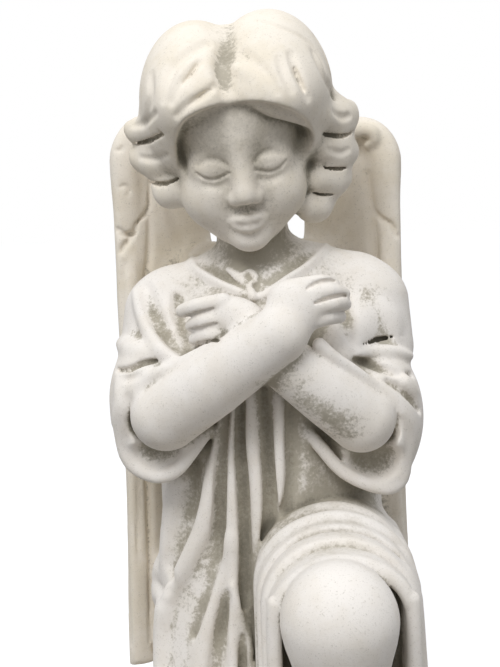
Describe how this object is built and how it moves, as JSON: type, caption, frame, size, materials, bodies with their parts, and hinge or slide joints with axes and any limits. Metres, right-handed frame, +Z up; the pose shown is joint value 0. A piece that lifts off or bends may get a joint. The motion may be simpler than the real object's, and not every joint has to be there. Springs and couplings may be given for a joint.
{
  "type": "kneeling angel statue",
  "caption": "Garden statue of a kneeling winged child with crossed arms and bowed head, cast in stone with its low base.",
  "frame": {"origin": "middle of the base's flat underside", "axes": "+Z up, -Y the way the face looks, +X the angel's left"},
  "size_m": [0.2759, 0.4018, 0.6909],
  "materials": {
    "cast_stone": "matt weathered white cast stone"
  },
  "bodies": {
    "root": {"kneeling_angel": "cast_stone"}
  },
  "joints": []
}
